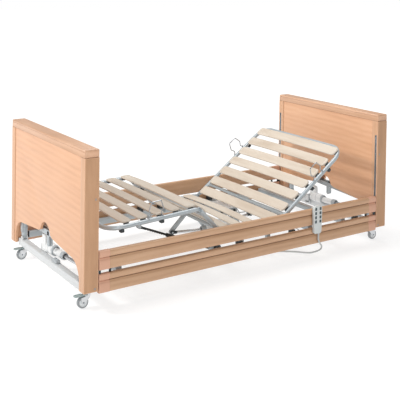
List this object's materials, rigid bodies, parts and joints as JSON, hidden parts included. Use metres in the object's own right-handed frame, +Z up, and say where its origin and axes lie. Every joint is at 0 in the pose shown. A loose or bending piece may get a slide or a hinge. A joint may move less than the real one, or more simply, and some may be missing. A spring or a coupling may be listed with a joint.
{
  "type": "adjustable hospital bed",
  "caption": "Low height-adjustable care bed: beech end boards and sliding side rails, powered slatted backrest and thigh section with ratcheted calf section, scissor lift on castors.",
  "frame": {"origin": "on the floor, under the middle of the bed", "axes": "+X towards the head end, -Y towards the side with the handset, +Z up"},
  "size_m": [2.196, 1.0452, 0.845],
  "materials": {
    "panel_wood": "satin lacquered beech laminate, warm",
    "frame_wood": "satin lacquered beech, darker",
    "slat_wood": "pale sealed birch",
    "painted_tube": "satin powder coat, light blue grey",
    "pale_paint": "satin powder coat, pale grey",
    "track_metal": "satin anodised",
    "rod_metal": "ground",
    "castor_metal": "zinc plated",
    "tyre": "grey rubber",
    "cap_plastic": "fine moulded grain",
    "pale_plastic": "fine moulded grain",
    "cable_grey": "smooth cable sheath",
    "dark_plastic": "fine moulded grain",
    "dark_metal": "black oxide"
  },
  "bodies": {
    "foot_chassis": {"foot_chassis_beam": "pale_paint"},
    "head_chassis": {"head_chassis_beam": "pale_paint"},
    "foot_arm_a": {"foot_lift_arm_a": "painted_tube"},
    "foot_arm_b": {"foot_lift_arm_b": "painted_tube"},
    "foot_lift_motor": {"foot_lift_motor": "pale_plastic"},
    "foot_lift_rod": {"foot_lift_rod": "rod_metal"},
    "head_arm_a": {"head_lift_arm_a": "painted_tube"},
    "head_arm_b": {"head_lift_arm_b": "painted_tube"},
    "head_lift_motor": {"head_lift_motor": "pale_plastic"},
    "head_lift_rod": {"head_lift_rod": "rod_metal"},
    "platform": {"mattress_frame": "painted_tube", "seat_slats": "slat_wood", "foot_board_panel": "panel_wood", "foot_board_frame": "frame_wood", "head_board_panel": "panel_wood", "head_board_frame": "frame_wood", "guide_track_foot_near": "track_metal", "guide_track_foot_far": "track_metal", "guide_track_head_near": "track_metal", "guide_track_head_far": "track_metal"},
    "backrest": {"backrest_frame": "painted_tube", "backrest_slats": "slat_wood"},
    "thigh_section": {"thigh_frame": "painted_tube", "thigh_slats": "slat_wood"},
    "calf_section": {"calf_frame": "painted_tube", "calf_slats": "slat_wood"},
    "backrest_motor": {"backrest_motor": "pale_plastic"},
    "backrest_rod": {"backrest_rod": "rod_metal"},
    "thigh_motor": {"thigh_motor": "pale_plastic"},
    "thigh_rod": {"thigh_rod": "rod_metal"},
    "ratchet_sleeve": {"ratchet_sleeve": "dark_metal"},
    "ratchet_bar": {"ratchet_bar": "dark_metal"},
    "near_rail": {"near_rail_lower_beam": "frame_wood", "near_rail_upper_beam": "frame_wood", "near_rail_foot_carriage": "cap_plastic", "near_rail_head_carriage": "cap_plastic", "handset_shell": "pale_plastic", "handset_cable": "cable_grey"},
    "far_rail": {"far_rail_lower_beam": "frame_wood", "far_rail_upper_beam": "frame_wood", "far_rail_foot_carriage": "cap_plastic", "far_rail_head_carriage": "cap_plastic"},
    "handset_button_a1": {"handset_button_a1": "dark_plastic"},
    "handset_button_a2": {"handset_button_a2": "dark_plastic"},
    "handset_button_a3": {"handset_button_a3": "dark_plastic"},
    "handset_button_a4": {"handset_button_a4": "dark_plastic"},
    "handset_button_b1": {"handset_button_b1": "dark_plastic"},
    "handset_button_b2": {"handset_button_b2": "dark_plastic"},
    "handset_button_b3": {"handset_button_b3": "dark_plastic"},
    "handset_button_b4": {"handset_button_b4": "dark_plastic"},
    "castor_foot_near_fork": {"castor_foot_near_fork": "castor_metal"},
    "castor_foot_near_wheel": {"castor_foot_near_wheel": "tyre"},
    "castor_foot_near_pedal": {"castor_foot_near_pedal": "castor_metal"},
    "castor_foot_far_fork": {"castor_foot_far_fork": "castor_metal"},
    "castor_foot_far_wheel": {"castor_foot_far_wheel": "tyre"},
    "castor_foot_far_pedal": {"castor_foot_far_pedal": "castor_metal"},
    "castor_head_near_fork": {"castor_head_near_fork": "castor_metal"},
    "castor_head_near_wheel": {"castor_head_near_wheel": "tyre"},
    "castor_head_far_fork": {"castor_head_far_fork": "castor_metal"},
    "castor_head_far_wheel": {"castor_head_far_wheel": "tyre"}
  },
  "joints": [
    {"name": "lift", "type": "hinge", "parent": "foot_chassis", "child": "foot_arm_a", "pos_m": [-1.0635, 0.4, 0.14], "axis": [-1, 0, 0], "range_deg": [0, 31.8]},
    {"name": "foot_arm_crossing", "type": "hinge", "parent": "foot_arm_a", "child": "foot_arm_b", "pos_m": [-1.0505, 0, 0.215], "axis": [-1, 0, 0], "range_deg": [-64.1, 0.5]},
    {"name": "foot_platform_pivot", "type": "hinge", "parent": "foot_arm_b", "child": "platform", "pos_m": [-1.0505, 0.4, 0.29], "axis": [-1, 0, 0], "range_deg": [-0.5, 32.3]},
    {"name": "head_platform_pivot", "type": "hinge", "parent": "platform", "child": "head_arm_b", "pos_m": [1.0505, 0.4, 0.29], "axis": [-1, 0, 0], "range_deg": [-32.3, 0.5]},
    {"name": "head_arm_crossing", "type": "hinge", "parent": "head_arm_b", "child": "head_arm_a", "pos_m": [1.0505, 0, 0.215], "axis": [-1, 0, 0], "range_deg": [-0.5, 64.1]},
    {"name": "head_base_pivot", "type": "hinge", "parent": "head_arm_a", "child": "head_chassis", "pos_m": [1.0635, 0.4, 0.14], "axis": [-1, 0, 0], "range_deg": [-32.3, 0.5]},
    {"name": "foot_lift_motor_pivot", "type": "hinge", "parent": "foot_chassis", "child": "foot_lift_motor", "pos_m": [-1.016, 0.17, 0.155], "axis": [-1, 0, 0], "range_deg": [-0.5, 2]},
    {"name": "foot_lift_rod_pivot", "type": "hinge", "parent": "foot_arm_b", "child": "foot_lift_rod", "pos_m": [-1.016, -0.385, 0.186], "axis": [-1, 0, 0], "range_deg": [-0.5, 33.8]},
    {"name": "head_lift_motor_pivot", "type": "hinge", "parent": "head_chassis", "child": "head_lift_motor", "pos_m": [1.016, 0.17, 0.155], "axis": [-1, 0, 0], "range_deg": [-0.5, 2]},
    {"name": "head_lift_rod_pivot", "type": "hinge", "parent": "head_arm_b", "child": "head_lift_rod", "pos_m": [1.016, -0.385, 0.186], "axis": [-1, 0, 0], "range_deg": [-0.5, 33.8]},
    {"name": "backrest", "type": "hinge", "parent": "platform", "child": "backrest", "pos_m": [0.221, 0, 0.2115], "axis": [0, -1, 0], "range_deg": [-36.2, 33.8]},
    {"name": "backrest_motor_pivot", "type": "hinge", "parent": "platform", "child": "backrest_motor", "pos_m": [0.04, 0.06, 0.12], "axis": [0, -1, 0], "range_deg": [-18.35, 17.16]},
    {"name": "backrest_rod_pivot", "type": "hinge", "parent": "backrest", "child": "backrest_rod", "pos_m": [0.40722, 0.06, 0.14332], "axis": [0, -1, 0], "range_deg": [-17.64, 18.85]},
    {"name": "thigh", "type": "hinge", "parent": "platform", "child": "thigh_section", "pos_m": [-0.144, 0, 0.2115], "axis": [0, 1, 0], "range_deg": [-46.8, 3.2]},
    {"name": "knee", "type": "hinge", "parent": "thigh_section", "child": "calf_section", "pos_m": [-0.32883, 0, 0.40832], "axis": [0, 1, 0], "range_deg": [-3.89, 50.1]},
    {"name": "thigh_motor_pivot", "type": "hinge", "parent": "platform", "child": "thigh_motor", "pos_m": [0.2, -0.1, 0.14], "axis": [0, 1, 0], "range_deg": [-14.35, 1.45]},
    {"name": "thigh_rod_pivot", "type": "hinge", "parent": "thigh_section", "child": "thigh_rod", "pos_m": [-0.30767, -0.1, 0.18127], "axis": [0, 1, 0], "range_deg": [-2.75, 33.45]},
    {"name": "ratchet_sleeve_pivot", "type": "hinge", "parent": "platform", "child": "ratchet_sleeve", "pos_m": [-0.23, -0.385, 0.16], "axis": [0, 1, 0], "range_deg": [-21.05, 1.91]},
    {"name": "ratchet_bar_pivot", "type": "hinge", "parent": "calf_section", "child": "ratchet_bar", "pos_m": [-0.70691, -0.385, 0.35979], "axis": [0, 1, 0], "range_deg": [-23.84, 2.1]},
    {"name": "near_rail_slide", "type": "slide", "parent": "platform", "child": "near_rail", "axis": [0, 0, 1], "range_m": [0, 0.4]},
    {"name": "far_rail_slide", "type": "slide", "parent": "platform", "child": "far_rail", "axis": [0, 0, 1], "range_m": [0, 0.4]},
    {"name": "handset_button_a1_press", "type": "slide", "parent": "near_rail", "child": "handset_button_a1", "axis": [0, 1, 0], "range_m": [0, 0.001], "stiffness_N_per_m": 400},
    {"name": "handset_button_a2_press", "type": "slide", "parent": "near_rail", "child": "handset_button_a2", "axis": [0, 1, 0], "range_m": [0, 0.001], "stiffness_N_per_m": 400},
    {"name": "handset_button_a3_press", "type": "slide", "parent": "near_rail", "child": "handset_button_a3", "axis": [0, 1, 0], "range_m": [0, 0.001], "stiffness_N_per_m": 400},
    {"name": "handset_button_a4_press", "type": "slide", "parent": "near_rail", "child": "handset_button_a4", "axis": [0, 1, 0], "range_m": [0, 0.001], "stiffness_N_per_m": 400},
    {"name": "handset_button_b1_press", "type": "slide", "parent": "near_rail", "child": "handset_button_b1", "axis": [0, 1, 0], "range_m": [0, 0.001], "stiffness_N_per_m": 400},
    {"name": "handset_button_b2_press", "type": "slide", "parent": "near_rail", "child": "handset_button_b2", "axis": [0, 1, 0], "range_m": [0, 0.001], "stiffness_N_per_m": 400},
    {"name": "handset_button_b3_press", "type": "slide", "parent": "near_rail", "child": "handset_button_b3", "axis": [0, 1, 0], "range_m": [0, 0.001], "stiffness_N_per_m": 400},
    {"name": "handset_button_b4_press", "type": "slide", "parent": "near_rail", "child": "handset_button_b4", "axis": [0, 1, 0], "range_m": [0, 0.001], "stiffness_N_per_m": 400},
    {"name": "castor_foot_near_swivel", "type": "hinge", "parent": "foot_chassis", "child": "castor_foot_near_fork", "pos_m": [-1.034, -0.427, 0.08], "axis": [0, 0, 1], "continuous": true},
    {"name": "castor_foot_near_roll", "type": "hinge", "parent": "castor_foot_near_fork", "child": "castor_foot_near_wheel", "pos_m": [-1.056, -0.427, 0.031], "axis": [0, 1, 0], "continuous": true},
    {"name": "castor_foot_near_brake", "type": "hinge", "parent": "castor_foot_near_fork", "child": "castor_foot_near_pedal", "pos_m": [-1.04, -0.427, 0.068], "axis": [0, -1, 0], "range_deg": [0, 10]},
    {"name": "castor_foot_far_swivel", "type": "hinge", "parent": "foot_chassis", "child": "castor_foot_far_fork", "pos_m": [-1.034, 0.427, 0.08], "axis": [0, 0, 1], "continuous": true},
    {"name": "castor_foot_far_roll", "type": "hinge", "parent": "castor_foot_far_fork", "child": "castor_foot_far_wheel", "pos_m": [-1.056, 0.427, 0.031], "axis": [0, 1, 0], "continuous": true},
    {"name": "castor_foot_far_brake", "type": "hinge", "parent": "castor_foot_far_fork", "child": "castor_foot_far_pedal", "pos_m": [-1.04, 0.427, 0.068], "axis": [0, -1, 0], "range_deg": [0, 10]},
    {"name": "castor_head_near_swivel", "type": "hinge", "parent": "head_chassis", "child": "castor_head_near_fork", "pos_m": [1.034, -0.427, 0.08], "axis": [0, 0, 1], "continuous": true},
    {"name": "castor_head_near_roll", "type": "hinge", "parent": "castor_head_near_fork", "child": "castor_head_near_wheel", "pos_m": [1.056, -0.427, 0.031], "axis": [0, 1, 0], "continuous": true},
    {"name": "castor_head_far_swivel", "type": "hinge", "parent": "head_chassis", "child": "castor_head_far_fork", "pos_m": [1.034, 0.427, 0.08], "axis": [0, 0, 1], "continuous": true},
    {"name": "castor_head_far_roll", "type": "hinge", "parent": "castor_head_far_fork", "child": "castor_head_far_wheel", "pos_m": [1.056, 0.427, 0.031], "axis": [0, 1, 0], "continuous": true}
  ],
  "couplings": [
    {"joint": "foot_arm_crossing", "follows": "lift", "ratio": -2},
    {"joint": "foot_platform_pivot", "follows": "lift", "ratio": 1},
    {"joint": "head_platform_pivot", "follows": "lift", "ratio": -1},
    {"joint": "head_arm_crossing", "follows": "lift", "ratio": 2},
    {"joint": "head_base_pivot", "follows": "lift", "ratio": -1},
    {"joint": "foot_lift_motor_pivot", "follows": "lift", "ratio": 0.047},
    {"joint": "foot_lift_rod_pivot", "follows": "lift", "ratio": 1.047},
    {"joint": "head_lift_motor_pivot", "follows": "lift", "ratio": 0.047},
    {"joint": "head_lift_rod_pivot", "follows": "lift", "ratio": 1.047},
    {"joint": "backrest_motor_pivot", "follows": "backrest", "ratio": 0.493},
    {"joint": "backrest_rod_pivot", "follows": "backrest", "ratio": -0.507},
    {"joint": "knee", "follows": "thigh", "ratio": -1.0598},
    {"joint": "thigh_motor_pivot", "follows": "thigh", "ratio": 0.296},
    {"joint": "thigh_rod_pivot", "follows": "thigh", "ratio": -0.704},
    {"joint": "ratchet_sleeve_pivot", "follows": "thigh", "ratio": 0.439},
    {"joint": "ratchet_bar_pivot", "follows": "thigh", "ratio": 0.49883}
  ]
}
